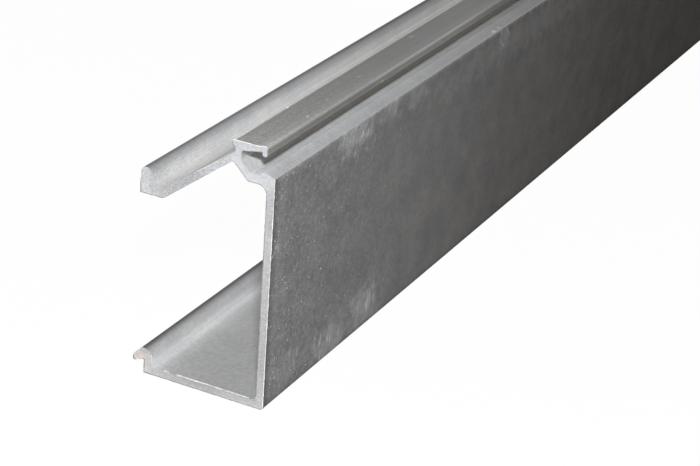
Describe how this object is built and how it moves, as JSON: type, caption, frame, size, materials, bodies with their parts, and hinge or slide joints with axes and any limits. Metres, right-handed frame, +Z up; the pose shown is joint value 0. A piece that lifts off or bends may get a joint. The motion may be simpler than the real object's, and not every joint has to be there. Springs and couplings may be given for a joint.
{
  "type": "glazing stop",
  "caption": "Extruded aluminium glazing stop: an open channel section with a gasket race, a snap arm and a snap hook, square cut, for holding glass in a frame.",
  "frame": {"origin": "middle of the bounding box, on the level floor that the bottom leg rests on", "axes": "+X out of the web's flat outer face, +Y along the extruded length, +Z up"},
  "size_m": [0.031, 1.2192, 0.0571],
  "materials": {
    "mill_finish": "mill finish, satin, with fine die lines and rub marks"
  },
  "bodies": {
    "root": {"glazing_stop": "mill_finish"}
  },
  "joints": []
}
